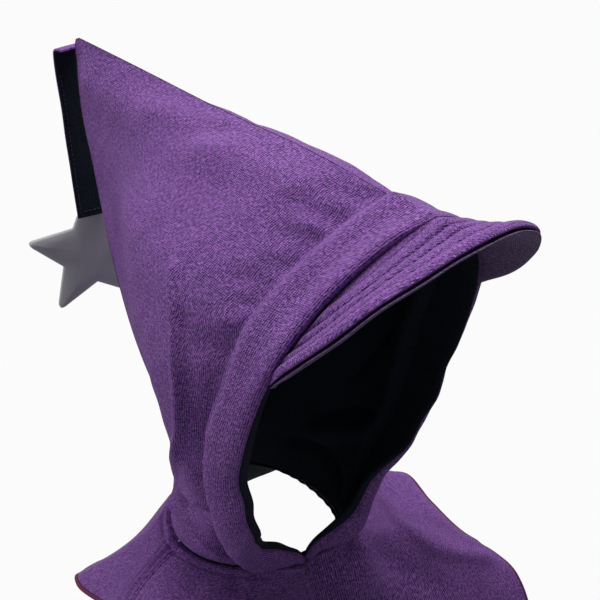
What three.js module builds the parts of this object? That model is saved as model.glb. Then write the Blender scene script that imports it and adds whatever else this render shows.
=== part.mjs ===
// Rain hood: long pointed tail, small peak, face band, short shoulder cape and a star on a strap.
// Millimetres, +Z up, the face looks along -Y and the wearer's right is -X.
// The origin is the seat on top of the wearer's head. The hood is mirrored about X = 0, the star and the
// front overlap of the cape are not.

import * as THREE from 'three';

const clothThickness = 2.0;        // outer cloth bonded to fleece
const seamGap = 0.3;               // clearance between two sewn pieces
const right = -1;                  // side of the wearer, as the sign of X
const left = 1;

// The opening: the face band lies between its rear edge on the hood and its front edge at the face.
// Each row is a place along the band, and each edge is [out, y, z] with out measured from X = 0.
const bandPlaces = [
  { place: 'apex',   rear: [0, -86, 1],    front: [0, -116, -2] },
  { place: 'crown',  rear: [25, -76.5, -14],  front: [22, -108, -13] },
  { place: 'brow',   rear: [50, -69, -32],  front: [48, -99, -32] },
  { place: 'temple', rear: [71, -61, -57],  front: [69, -91, -56] },
  { place: 'ear',    rear: [80, -54, -88],  front: [78, -83, -81] },
  { place: 'cheek',  rear: [82, -43, -120], front: [81, -72, -116] },
  { place: 'jaw',    rear: [80, -38, -150], front: [78, -63, -147] },
  { place: 'chin',   rear: [73, -33, -181], front: [70, -59, -174] },
  { place: 'throat', rear: [62, -26, -211], front: [59, -51, -200] },
  { place: 'collar', rear: [48, -19, -238], front: [44, -37, -222] },
  { place: 'fold',   rear: [33, -15, -258], front: [29, -30, -238] },
  { place: 'notch',  rear: [14, -25, -261], front: [12, -30, -249] },
  { place: 'centre', rear: [0, -28, -265],  front: [0, -29, -260] },
];
const rowsOnHood = 11;             // rows of the table whose rear edge is sewn to the hood panel

// The hood panel: ribs from the ridge down to the neck seam, behind the band's rear edge.
const hoodRibs = [
  { rib: 'over the ears', ridge: [0, -35, 6.5], crown: [40, -26, -18], temple: [74, -16, -54],
    cheek: [84, -6, -106], jaw: [77, -8, -158], nape: [60, 0, -212], neckAngle: 68 },
  { rib: 'over the neck', ridge: [0, 38, 9], crown: [30, 42, -14], temple: [58, 44, -50],
    cheek: [66, 38, -104], jaw: [57, 22, -162], nape: [50, 28, -213], neckAngle: 106 },
  { rib: 'tail',          ridge: [0, 108, 12], crown: [14, 110, -12], temple: [25, 106, -52],
    cheek: [31, 93, -108], jaw: [30, 75, -163], nape: [29, 53, -212], neckAngle: 142 },
  { rib: 'back seam',     ridge: [0, 175, 15], crown: [0, 176, -24], temple: [0, 167, -66],
    cheek: [0, 154, -125], jaw: [0, 134, -180], nape: [0, 108, -218], neckAngle: 180 },
];
const neckSeam = { radius: 50, centreY: 22, z: -258.5, notchDrop: 6.5, notchAngle: 28, backRise: 8.5,
  gap: 0.7 };
// The cloth is pulled forward on the wearer's left of the throat.
const throatPull = { forward: 14, fromZ: -205, toZ: -255, fromX: 3, toX: 32, behindY: 30, beyond: 95 };

const band = { height: 2.2, depth: 2.6, fullest: 1.9, endTaper: 1.0 };
const bandSection = [              // across: from rear edge to front edge; height: in band heights or depths
  { across: 0.02, height: 0.5 },
  { across: 0.06, height: 1.0 },
  { across: 0.28, height: 1.15 },
  { across: 0.60, height: 0.8 },
  { across: 0.86, height: 0.85 },
  { across: 0.97, height: 0.5 },
  { across: 1.00, height: -0.1 },
  { across: 0.95, height: -0.75 },
  { across: 0.75, height: -1.0 },
  { across: 0.40, height: -0.9 },
  { across: 0.08, height: -0.9 },
  { across: 0.035, height: -0.5 },
];

// The peak: its rim, outwards from the middle.
const peakRim = [
  [-77, -86, -76], [-80, -104, -58], [-73, -123, -38], [-58, -138, -19], [-38, -146, -9], [-19, -150, -3],
  [0, -152, -0.5], [20, -151, -2.2], [40, -146, -11], [60, -135, -26], [76, -120, -46], [81, -104, -64],
  [77, -86.5, -76],
];
const peak = { topThickness: 2.6, underThickness: 1.7, sag: 4.0, rootGap: 0.4, rootEnd: 0.32 };

// The cape: its hem, by angle round the neck from the centre front, and how far its middle bulges out.
const capeHem = [
  { angle: 0,   hem: [0, -80, -352],     bulge: 0 },
  { angle: 20,  hem: [52, -112, -350],   bulge: 4 },
  { angle: 34,  hem: [98, -130, -334],   bulge: 9 },
  { angle: 42,  hem: [112, -104, -292],  bulge: 6 },
  { angle: 50,  hem: [103, -66, -277],   bulge: 3 },
  { angle: 62,  hem: [106, -35, -271],   bulge: 2 },
  { angle: 74,  hem: [112, -9, -269],    bulge: 4 },
  { angle: 88,  hem: [103, 18, -275],    bulge: 5 },
  { angle: 104, hem: [98, 45, -285],     bulge: 1 },
  { angle: 120, hem: [97, 72, -290],     bulge: -4 },
  { angle: 140, hem: [76, 98, -306],     bulge: -5 },
  { angle: 160, hem: [41, 118, -328],    bulge: -3 },
  { angle: 180, hem: [0, 122, -338],     bulge: 0 },
];
const shoulderSeam = { neckAngle: 104, hemAngle: 90 };   // between the cape's front and back
const overlap = { width: 9, step: 3.1, flatAngle: 3, rampAngle: 14 };
const edgingSection = [            // across: beyond the cut edge; height: above the cape's outer face
  { across: 0.45, height: 0.1 },
  { across: 1.4, height: 0.2 },
  { across: 2.9, height: -0.4 },
  { across: 2.9, height: -1.6 },
  { across: 1.4, height: -2.2 },
  { across: 0.45, height: -2.1 },
];

const strap = {
  width: 18, thickness: 2.2, endTurn: -12,
  path: [[0, 175.9, 9], [0, 181, 8.5], [0, 184.6, 7], [0, 185.2, 1], [0, 182, -30], [0, 177.5, -68],
    [0, 173, -102]],
};

const star = { centre: [3, 177.8, -130.5], tipRadius: 45, notchRadius: 23, thickness: 8, rimThickness: 3,
  turn: -0.5, facing: -16 };

const cloth = (color, roughness) => new THREE.MeshStandardMaterial({ color, roughness, metalness: 0 });
const purple = cloth('#5d3a80', 0.9);
const deepPurple = cloth('#4c2f6b', 0.9);
const navy = cloth('#11131f', 0.95);
const maroon = cloth('#64284a', 0.8);
const grey = cloth('#626264', 0.6);

const vector = ([x, y, z]) => new THREE.Vector3(x, y, z);
const curveThrough = (points) => new THREE.CatmullRomCurve3(points.map(vector));
const { lerp: mix, smoothstep } = THREE.MathUtils;

function closedMesh(name, positions, triangles, material) {
  const geometry = new THREE.BufferGeometry();
  const numbers = positions.flatMap((p) => p.toArray());
  geometry.setAttribute('position', new THREE.Float32BufferAttribute(numbers, 3));
  const volume = triangles.reduce((sum, [a, b, c]) => {
    const cross = positions[b].clone().cross(positions[c]);
    return sum + positions[a].dot(cross) / 6;
  }, 0);
  const facing = volume < 0 ? triangles.map(([a, b, c]) => [a, c, b]) : triangles;
  geometry.setIndex(facing.flat());
  geometry.computeVertexNormals();
  const mesh = new THREE.Mesh(geometry, material);
  mesh.name = name;
  return mesh;
}

// The points of a wall of cloth: a grid on its middle or outer face, moved along the normal by each offset.
// squareTo gives, on an edge that meets another piece, the direction its narrow face must be square to.
function wallFaces({ point, alongSteps, downSteps, offsets, squareTo = () => null, keep = (p) => p }) {
  const grid = [];
  for (let i = 0; i <= alongSteps; i++) {
    grid.push([]);
    for (let j = 0; j <= downSteps; j++) grid[i].push(point(i / alongSteps, j / downSteps));
  }
  const at = (i, j) => grid[THREE.MathUtils.clamp(i, 0, alongSteps)][THREE.MathUtils.clamp(j, 0, downSteps)];
  const normals = grid.map((column, i) => column.map((p, j) => {
    const along = at(i + 1, j).clone().sub(at(i - 1, j));
    const down = at(i, j + 1).clone().sub(at(i, j - 1));
    const normal = along.cross(down).normalize();
    const edge = squareTo(i, j);
    return edge ? normal.addScaledVector(edge, -normal.dot(edge)).normalize() : normal;
  }));
  return offsets.map((offset) => grid.map((column, i) => column.map((p, j) =>
    settle(keep(p.clone().addScaledVector(normals[i][j], offset))))));
}

function clothWall({ name, material, ...shape }) {
  const { alongSteps, downSteps } = shape;
  const [outer, inner] = wallFaces(shape);
  const positions = [...outer.flat(), ...inner.flat()];
  const row = downSteps + 1;
  const index = (i, j, layer) => layer * positions.length / 2 + i * row + j;
  const triangles = [];
  const quad = (a, b, c, d) => triangles.push([a, b, c], [a, c, d]);
  for (let i = 0; i < alongSteps; i++) {
    for (let j = 0; j < downSteps; j++) {
      quad(index(i, j, 0), index(i + 1, j, 0), index(i + 1, j + 1, 0), index(i, j + 1, 0));
      quad(index(i, j, 1), index(i, j + 1, 1), index(i + 1, j + 1, 1), index(i + 1, j, 1));
    }
  }
  const narrowFace = (a, b, flip) => {
    const [c, d] = [[...b, 1], [...a, 1]];
    const corners = [index(...a, 0), index(...b, 0), index(...c), index(...d)];
    quad(...(flip ? corners.reverse() : corners));
  };
  for (let i = 0; i < alongSteps; i++) {
    narrowFace([i, 0], [i + 1, 0], true);
    narrowFace([i, downSteps], [i + 1, downSteps], false);
  }
  for (let j = 0; j < downSteps; j++) {
    narrowFace([0, j], [0, j + 1], false);
    narrowFace([alongSteps, j], [alongSteps, j + 1], true);
  }
  return closedMesh(name, positions, triangles, material);
}

// A roll of cloth: closed sections of the same number of points, joined in a row, with flat ends.
function clothRoll({ name, sections, material }) {
  const count = sections[0].length;
  const positions = sections.flat();
  const triangles = [];
  for (let i = 0; i + 1 < sections.length; i++) {
    for (let k = 0; k < count; k++) {
      const next = (k + 1) % count;
      const a = i * count + k;
      const b = i * count + next;
      const c = (i + 1) * count + next;
      const d = (i + 1) * count + k;
      triangles.push([a, b, c], [a, c, d]);
    }
  }
  for (const [start, flip] of [[0, true], [(sections.length - 1) * count, false]]) {
    const middle = positions.length;
    const centre = new THREE.Vector3();
    for (let k = 0; k < count; k++) centre.addScaledVector(positions[start + k], 1 / count);
    positions.push(centre);
    for (let k = 0; k < count; k++) {
      const next = (k + 1) % count;
      triangles.push(flip ? [middle, start + next, start + k] : [middle, start + k, start + next]);
    }
  }
  return closedMesh(name, positions, triangles, material);
}

function neckHeight(angle) {
  const { z, notchDrop, notchAngle, backRise } = neckSeam;
  const fromFront = Math.abs(THREE.MathUtils.euclideanModulo(angle + 180, 360) - 180);
  const drop = notchDrop * (1 - smoothstep(fromFront, 0, notchAngle));
  return z - drop + backRise * smoothstep(fromFront, 95, 180);
}

function neckPoint(angle) {
  const { radius, centreY } = neckSeam;
  const turn = THREE.MathUtils.degToRad(angle);
  return [radius * Math.sin(turn), centreY - radius * Math.cos(turn), neckHeight(angle)];
}

const neckAngle = (p) => THREE.MathUtils.radToDeg(Math.atan2(p.x, neckSeam.centreY - p.y));
const aboveNeck = (p) => p.setZ(Math.max(p.z, neckHeight(neckAngle(p))));
const belowNeck = (p) => p.setZ(Math.min(p.z, neckHeight(neckAngle(p)) - neckSeam.gap));

function settle(p) {
  const { forward, fromZ, toZ, fromX, toX, behindY, beyond } = throatPull;
  const low = smoothstep(-p.z, -fromZ, -toZ);
  const sideways = smoothstep(p.x, fromX, toX);
  const inFront = 1 - smoothstep(p.y, -20, behindY);
  const near = 1 - smoothstep(Math.hypot(p.x, p.y - neckSeam.centreY), 62, beyond);
  return p.setY(p.y - forward * low * sideways * inFront * near);
}

const bandRear = curveThrough(bandPlaces.map((row) => row.rear));
const bandFront = curveThrough(bandPlaces.map((row) => row.front));
const hoodFrontShare = (rowsOnHood - 1) / (bandPlaces.length - 1);
const hoodFrontRib = new THREE.CatmullRomCurve3(Array.from({ length: 49 }, (_, k) =>
  bandRear.getPoint(hoodFrontShare * k / 48)));
const hoodCurves = [hoodFrontRib, ...hoodRibs.map((row) =>
  curveThrough([row.ridge, row.crown, row.temple, row.cheek, row.jaw, row.nape, neckPoint(row.neckAngle)]))];

function hoodPanel(name, side) {
  const alongSteps = 20;
  const downSteps = 26;
  const keepToSide = (p) => aboveNeck(p.setX(side * Math.max(side * p.x, seamGap / 2)));
  const point = (u, v) => {
    const across = new THREE.CatmullRomCurve3(hoodCurves.map((curve) => curve.getPointAt(v)));
    const p = across.getPoint(u);
    return keepToSide(p.setX(side * p.x));
  };
  const squareTo = (i, j) => {
    if (i > 0) return null;
    const { across } = bandFrame(hoodFrontShare * hoodFrontRib.getUtoTmapping(j / downSteps));
    return across.setX(side * across.x).normalize();
  };
  return clothWall({ name, point, squareTo, keep: keepToSide, alongSteps, downSteps,
    offsets: [0, -side * clothThickness], material: purple });
}

// Frame of the band at a place: origin on its rear edge, unit vectors across it and out of it.
function bandFrame(t) {
  const rear = bandRear.getPoint(t);
  const front = bandFront.getPoint(t);
  const step = 0.004;
  const before = Math.max(t - step, 0);
  const after = Math.min(t + step, 1);
  const along = bandRear.getPoint(after).sub(bandRear.getPoint(before))
    .add(bandFront.getPoint(after)).sub(bandFront.getPoint(before));
  if (t < step) along.setY(0).setZ(0);
  const across = front.clone().sub(rear);
  const outwards = across.clone().cross(along).normalize();
  return { rear, front, across, outwards };
}

function faceBand() {
  const steps = 30;
  const half = [];
  for (let i = 0; i <= steps; i++) {
    const t = i / steps;
    const { rear, across, outwards } = bandFrame(t);
    const padded = mix(1, band.fullest, smoothstep(t, 0.25, 0.7));
    const fullness = mix(padded, band.endTaper, smoothstep(t, 0.8, 1));
    half.push(bandSection.map((row) => {
      const reach = row.height > 0 ? band.height : band.depth;
      return rear.clone().addScaledVector(across, row.across)
        .addScaledVector(outwards, row.height * reach * fullness);
    }));
  }
  const mirrored = half.map((section) => section.map((p) => p.clone().setX(-p.x)));
  const sections = [...mirrored.slice(1).reverse(), ...half];
  sections[0].forEach((p) => p.setX(Math.min(p.x, -seamGap)));
  sections[sections.length - 1].forEach((p) => p.setX(Math.max(p.x, seamGap)));
  sections.flat().forEach((p) => settle(aboveNeck(p)));
  return clothRoll({ name: 'face_band', sections, material: purple });
}

function peakLayer(name, offsets, material) {
  const rim = curveThrough(peakRim);
  const alongSteps = 36;
  const rootFrame = (u) => {
    const around = 2 * u - 1;
    const frame = bandFrame(Math.abs(around) * peak.rootEnd);
    const mirror = Math.sign(around || 1);
    for (const key of ['front', 'across', 'outwards']) frame[key].setX(mirror * frame[key].x);
    return frame;
  };
  const point = (u, v) => {
    const { front, across, outwards } = rootFrame(u);
    const root = front.addScaledVector(across.normalize(), peak.rootGap);
    const tip = rim.getPointAt(u);
    const sag = peak.sag * Math.min(tip.distanceTo(root) / 25, 1);
    return root.lerp(tip, v).addScaledVector(outwards, -4 * v * (1 - v) * sag);
  };
  const squareTo = (i, j) => (j === 0 ? rootFrame(i / alongSteps).across.normalize() : null);
  return clothWall({ name, point, squareTo, offsets, alongSteps, downSteps: 5, material });
}

// The hem runs all the way round: the table for the wearer's left, then its mirror image for the right.
const hemLoop = [...capeHem, ...capeHem.slice(1, -1).reverse().map((row) =>
  ({ angle: 360 - row.angle, hem: [-row.hem[0], row.hem[1], row.hem[2]], bulge: row.bulge }))];
const hemCurve = new THREE.CatmullRomCurve3(hemLoop.map((row) => vector(row.hem)), true);
const bulgeCurve = new THREE.CatmullRomCurve3(hemLoop.map((row) => vector([row.bulge, 0, 0])), true);

function hemPlace(angle) {
  const turn = (angle + 360) % 360;
  const k = hemLoop.findLastIndex((row) => row.angle <= turn);
  const next = k + 1 < hemLoop.length ? hemLoop[k + 1].angle : 360;
  return (k + (turn - hemLoop[k].angle) / (next - hemLoop[k].angle)) / hemLoop.length;
}

// A point of the cape's outer face: down 0 is at the neck seam and down 1 at the hem.
function capePoint(angle, down) {
  const turn = THREE.MathUtils.degToRad(angle);
  const neck = vector(neckPoint(angle)).setZ(neckPoint(angle)[2] - seamGap);
  const place = hemPlace(angle);
  const outAndUp = new THREE.Vector3(Math.sin(turn), -Math.cos(turn), 1).normalize();
  return neck.lerp(hemCurve.getPoint(place), down)
    .addScaledVector(outAndUp, 4 * down * (1 - down) * bulgeCurve.getPoint(place).x);
}

function capeNormal(angle, down) {
  const step = 0.5;
  const along = capePoint(angle + step, down).sub(capePoint(angle - step, down));
  const towardsHem = capePoint(angle, Math.min(down + 0.02, 1))
    .sub(capePoint(angle, Math.max(down - 0.02, 0)));
  return towardsHem.cross(along).normalize();
}

// How deep the left front lies under the right front, near the centre.
const sunk = (angle) => overlap.step * (1 - smoothstep(angle, overlap.flatAngle, overlap.rampAngle));

function capeFrontShape(side) {
  const point = (u, v) => {
    const end = seamAngle(v) - seamAngleGap(v);
    if (side === right) return capePoint(360 - mix(seamAngleGap(v), end, u), v);
    const angle = mix(-underlapAngle(v), end, u);
    return capePoint(angle, v).addScaledVector(capeNormal(angle, v), -sunk(angle));
  };
  return { point, alongSteps: 20, downSteps: 8, offsets: [0, side * clothThickness], keep: belowNeck };
}

function capeBackShape() {
  const point = (u, v) =>
    capePoint(mix(seamAngle(v) + seamAngleGap(v), 360 - seamAngle(v) - seamAngleGap(v), u), v);
  return { point, alongSteps: 26, downSteps: 8, offsets: [0, clothThickness], keep: belowNeck };
}

const capeRadius = (down) => mix(neckSeam.radius, 100, down);
const seamAngle = (down) => mix(shoulderSeam.neckAngle, shoulderSeam.hemAngle, down);
const seamAngleGap = (down) => THREE.MathUtils.radToDeg(seamGap / 2 / capeRadius(down));
const underlapAngle = (down) => THREE.MathUtils.radToDeg(overlap.width / capeRadius(down));

// The edging follows the cut edge of the three cape pieces, from the left front round to the right front.
function hemEdging(shapes) {
  const sections = shapes.flatMap((shape) => {
    const [outer, inner] = wallFaces(shape);
    return outer.map((column, i) => {
      const [above, edge] = column.slice(-2);
      const outwards = edge.clone().sub(inner[i][shape.downSteps]).normalize();
      const towardsHem = edge.clone().sub(above);
      towardsHem.addScaledVector(outwards, -towardsHem.dot(outwards)).normalize();
      return edgingSection.map((row) => edge.clone()
        .addScaledVector(towardsHem, row.across).addScaledVector(outwards, row.height));
    });
  });
  return clothRoll({ name: 'hem_edging', sections, material: maroon });
}

function tailStrap() {
  const path = curveThrough(strap.path);
  const steps = 26;
  const sections = [];
  for (let i = 0; i <= steps; i++) {
    const t = i / steps;
    const turn = THREE.MathUtils.degToRad(strap.endTurn * smoothstep(t, 0.4, 1));
    const widthways = new THREE.Vector3(Math.cos(turn), Math.sin(turn), 0);
    const outwards = widthways.clone().cross(path.getTangentAt(t)).normalize();
    sections.push([[-1, -1], [1, -1], [1, 1], [-1, 1]].map(([x, y]) => path.getPointAt(t)
      .addScaledVector(widthways, x * strap.width / 2).addScaledVector(outwards, y * strap.thickness / 2)));
  }
  return clothRoll({ name: 'tail_strap', sections, material: navy });
}

function tailStar() {
  const outline = new THREE.Path();
  const arms = 5;
  const corner = (k, radius) => {
    const angle = THREE.MathUtils.degToRad(90 + star.turn) + k * Math.PI / arms;
    return new THREE.Vector2(Math.cos(angle), Math.sin(angle)).multiplyScalar(radius);
  };
  const tipCut = 0.22;             // share of each arm's edge that the rounded tip takes
  for (let k = 0; k < arms; k++) {
    const tip = corner(2 * k, star.tipRadius * 1.08);
    const before = corner(2 * k - 1, star.notchRadius);
    const after = corner(2 * k + 1, star.notchRadius);
    const start = tip.clone().lerp(before, tipCut);
    const end = tip.clone().lerp(after, tipCut);
    if (k === 0) outline.moveTo(before.x, before.y);
    outline.lineTo(start.x, start.y);
    outline.quadraticCurveTo(tip.x, tip.y, end.x, end.y);
    outline.lineTo(after.x, after.y);
  }
  const rim = outline.getPoints(4);
  if (rim[0].distanceTo(rim[rim.length - 1]) < 0.01) rim.pop();
  const rings = [0.12, 0.4, 0.66, 0.86, 1];
  const positions = [];
  const triangles = [];
  for (const face of [1, -1]) {
    for (const scale of rings) {
      const height = mix(star.rimThickness, star.thickness, 1 - scale ** 2) / 2;
      for (const p of rim) positions.push(new THREE.Vector3(p.x * scale, -face * height, p.y * scale));
    }
  }
  const count = rim.length;
  const index = (face, ring, k) => (face * rings.length + ring) * count + k % count;
  for (let k = 0; k < count; k++) {
    for (let ring = 0; ring + 1 < rings.length; ring++) {
      triangles.push([index(0, ring, k), index(0, ring + 1, k), index(0, ring + 1, k + 1)]);
      triangles.push([index(0, ring, k), index(0, ring + 1, k + 1), index(0, ring, k + 1)]);
      triangles.push([index(1, ring, k), index(1, ring + 1, k + 1), index(1, ring + 1, k)]);
      triangles.push([index(1, ring, k), index(1, ring, k + 1), index(1, ring + 1, k + 1)]);
    }
    const last = rings.length - 1;
    triangles.push([index(0, last, k), index(1, last, k), index(1, last, k + 1)]);
    triangles.push([index(0, last, k), index(1, last, k + 1), index(0, last, k + 1)]);
  }
  for (const face of [0, 1]) {
    const middle = positions.length;
    positions.push(new THREE.Vector3(0, (face ? 1 : -1) * star.thickness / 2, 0));
    for (let k = 0; k < count; k++) {
      const a = index(face, 0, k);
      const b = index(face, 0, k + 1);
      triangles.push(face ? [middle, b, a] : [middle, a, b]);
    }
  }
  const facing = new THREE.Matrix4().makeRotationZ(THREE.MathUtils.degToRad(star.facing));
  const centre = vector(star.centre);
  return closedMesh('tail_star', positions.map((p) => p.applyMatrix4(facing).add(centre)), triangles, grey);
}

const leftFront = capeFrontShape(left);
const rightFront = capeFrontShape(right);
const back = capeBackShape();
const rightFrontReversed = { ...rightFront, point: (u, v) => rightFront.point(1 - u, v),
  offsets: [0, clothThickness] };

const hood = new THREE.Group();
hood.add(hoodPanel('hood_panel_right', right), hoodPanel('hood_panel_left', left));
hood.add(faceBand());
hood.add(peakLayer('peak_top', [-seamGap / 2 - peak.topThickness, -seamGap / 2], purple));
hood.add(peakLayer('peak_underside', [seamGap / 2, seamGap / 2 + peak.underThickness], deepPurple));
hood.add(clothWall({ name: 'cape_front_right', material: deepPurple, ...rightFront }));
hood.add(clothWall({ name: 'cape_front_left', material: deepPurple, ...leftFront }));
hood.add(clothWall({ name: 'cape_back', material: deepPurple, ...back }));
hood.add(hemEdging([leftFront, back, rightFrontReversed]), tailStrap(), tailStar());
export default hood;
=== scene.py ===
# Rain hood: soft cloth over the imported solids. Tables are in millimetres, Blender objects in metres.
import math

import bpy
import numpy as np
from mathutils import Matrix, Vector


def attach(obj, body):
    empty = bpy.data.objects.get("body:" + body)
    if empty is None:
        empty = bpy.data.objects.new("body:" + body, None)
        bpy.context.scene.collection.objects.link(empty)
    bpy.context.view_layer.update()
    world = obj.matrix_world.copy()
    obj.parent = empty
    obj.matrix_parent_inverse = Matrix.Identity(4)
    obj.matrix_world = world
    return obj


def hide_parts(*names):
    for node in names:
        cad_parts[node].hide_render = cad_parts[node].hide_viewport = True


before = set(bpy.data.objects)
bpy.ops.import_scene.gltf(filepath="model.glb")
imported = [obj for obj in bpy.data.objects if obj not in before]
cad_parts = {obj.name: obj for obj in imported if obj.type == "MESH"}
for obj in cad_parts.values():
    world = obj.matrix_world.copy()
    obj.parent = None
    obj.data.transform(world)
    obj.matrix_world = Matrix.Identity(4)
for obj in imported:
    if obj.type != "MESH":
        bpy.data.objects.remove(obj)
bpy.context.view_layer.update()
metre = 0.001  # one millimetre in metres
mapScale = 0.01  # units of the cloth map for one millimetre
print("frame loaded")

# Camera, lights and backdrop

view = {"target": (0, -24.7, -83.5), "azimuth": -43, "elevation": 29.5, "distance": 700, "lens": 77.34,
        "sensor": 36, "clip": (0.02, 60)}


def viewBack(azimuth, elevation):
    a, e = math.radians(azimuth), math.radians(elevation)
    return Vector((math.sin(a) * math.cos(e), -math.cos(a) * math.cos(e), math.sin(e)))


def addCamera():
    back = viewBack(view["azimuth"], view["elevation"])
    camera = bpy.data.objects.new("camera", bpy.data.cameras.new("camera"))
    camera.data.lens = view["lens"]
    camera.data.sensor_width = view["sensor"]
    camera.data.clip_start, camera.data.clip_end = view["clip"]
    camera.location = (Vector(view["target"]) + back * view["distance"]) * metre
    camera.rotation_euler = (-back).to_track_quat("-Z", "Y").to_euler()
    bpy.context.collection.objects.link(camera)
    bpy.context.scene.camera = camera


# Sizes and places of the studio are in metres.
studio = {
    "backdropBehind": 1.9, "backdropSize": 2.6, "backdropColour": (1, 0.995, 1, 1), "backdropGlow": 0.97,
    "skyColour": (0.9, 0.93, 1, 1), "skyStrength": 0.28,
    "lamps": [
        {"name": "overheadSoftbox", "place": (0, 0.1, 1.3), "size": 0.5, "power": 13},
        {"name": "rightSoftbox", "place": (0.6, -0.05, 1.15), "size": 0.6, "power": 7},
        {"name": "rearSoftbox", "place": (0.8, 0.65, 0.8), "size": 1.0, "power": 11},
        {"name": "lowRearSoftbox", "place": (-0.75, 1.05, -0.05), "size": 0.8, "power": 5.5},
        {"name": "lowLeftSoftbox", "place": (-1.2, 0.3, -0.1), "size": 0.8, "power": 2.5},
    ],
    "aim": (0, 0, -0.1),
}


def addStudio():
    world = bpy.data.worlds.new("studio")
    world.use_nodes = True
    background = world.node_tree.nodes["Background"]
    background.inputs["Color"].default_value = studio["skyColour"]
    background.inputs["Strength"].default_value = studio["skyStrength"]
    bpy.context.scene.world = world
    back = viewBack(view["azimuth"], view["elevation"])
    place = Vector(view["target"]) * metre - back * studio["backdropBehind"]
    bpy.ops.mesh.primitive_plane_add(size=studio["backdropSize"], location=place,
                                     rotation=back.to_track_quat("Z", "Y").to_euler())
    backdrop = bpy.context.object
    backdrop.name = "backdrop"
    paint = bpy.data.materials.new("backdropPaint")
    paint.use_nodes = True
    shader = paint.node_tree.nodes["Principled BSDF"]
    shader.inputs["Base Color"].default_value = (0, 0, 0, 1)
    shader.inputs["Specular IOR Level"].default_value = 0
    shader.inputs["Emission Color"].default_value = studio["backdropColour"]
    shader.inputs["Emission Strength"].default_value = studio["backdropGlow"]
    backdrop.data.materials.append(paint)
    for lamp in studio["lamps"]:
        data = bpy.data.lights.new(lamp["name"], "AREA")
        data.energy, data.size = lamp["power"], lamp["size"]
        light = bpy.data.objects.new(lamp["name"], data)
        light.location = lamp["place"]
        aim = Vector(studio["aim"]) - Vector(lamp["place"])
        light.rotation_euler = aim.to_track_quat("-Z", "Y").to_euler()
        bpy.context.collection.objects.link(light)
    scene = bpy.context.scene
    scene.view_settings.view_transform = "Standard"
    scene.view_settings.look = "None"


addCamera()
addStudio()
print("camera and studio ready")

# Materials


def newGroup(name, inputs, outputs):
    group = bpy.data.node_groups.new(name, "ShaderNodeTree")
    for label, kind, value in inputs:
        socket = group.interface.new_socket(name=label, in_out="INPUT", socket_type=kind)
        if value is not None:
            socket.default_value = value
    for label, kind in outputs:
        group.interface.new_socket(name=label, in_out="OUTPUT", socket_type=kind)
    return group, group.nodes.new("NodeGroupInput"), group.nodes.new("NodeGroupOutput")


def addMath(tree, operation, first, second=None, clamp=False):
    node = tree.nodes.new("ShaderNodeMath")
    node.operation, node.use_clamp = operation, clamp
    for socket, value in zip(node.inputs, (first, second)):
        if value is None:
            continue
        if isinstance(value, (int, float)):
            socket.default_value = value
        else:
            tree.links.new(value, socket)
    return node.outputs[0]


def addStretch(tree, vector, sizes, shift=(0, 0, 0)):
    node = tree.nodes.new("ShaderNodeMapping")
    node.inputs["Scale"].default_value = [1 / s for s in sizes]
    node.inputs["Location"].default_value = shift
    tree.links.new(vector, node.inputs["Vector"])
    return node.outputs[0]


def addNoise(tree, vector, detail, roughness=0.5):
    node = tree.nodes.new("ShaderNodeTexNoise")
    node.inputs["Scale"].default_value = 1
    node.inputs["Detail"].default_value = detail
    node.inputs["Roughness"].default_value = roughness
    tree.links.new(vector, node.inputs["Vector"])
    return node.outputs["Fac"]


def addRange(tree, value, low, high):
    node = tree.nodes.new("ShaderNodeMapRange")
    node.inputs["From Min"].default_value = low
    node.inputs["From Max"].default_value = high
    tree.links.new(value, node.inputs["Value"])
    return node.outputs[0]


def addMix(tree, share, first, second):
    node = tree.nodes.new("ShaderNodeMix")
    node.data_type = "RGBA"
    sockets = [s for s in node.inputs if s.type == "RGBA"]
    tree.links.new(share, node.inputs[0])
    for socket, value in zip(sockets, (first, second)):
        if isinstance(value, tuple):
            socket.default_value = (*value, 1)
        else:
            tree.links.new(value, socket)
    return next(s for s in node.outputs if s.type == "RGBA")


# The mottled face of the softshell: fine ribs along the cloth, broken into short dark and light streaks.
# Place is the cloth map in millimetres.
melange = {
    "warpPitch": 1.2, "weftPitch": 1.1, "wobble": 0.6, "warpWobble": (4, 12, 1), "weftWobble": (12, 4, 1),
    "warpDash": (0.95, 2.3, 1), "weftDash": (2.3, 0.95, 1), "dashFrom": 0.42, "dashTo": 0.58,
    "lightDash": (0.95, 1.9, 1), "lightFrom": 0.45, "lightTo": 0.6,
    "blotch": (20, 30, 1), "blotchFrom": 0.3, "blotchTo": 0.7,
    "noiseDetail": 2, "noiseRoughness": 0.6,
    "weftShift": (11, 5, 3), "lightShift": (31, 17, 5), "blotchShift": (7, 3, 9),
    "warpShare": 1.0, "weftShare": 0.75, "lightShare": 0.9, "blotchShare": 0.16,
    "weftHeight": 0.4, "roughness": 0.8, "furrowRoughness": 0.1,
}


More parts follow.
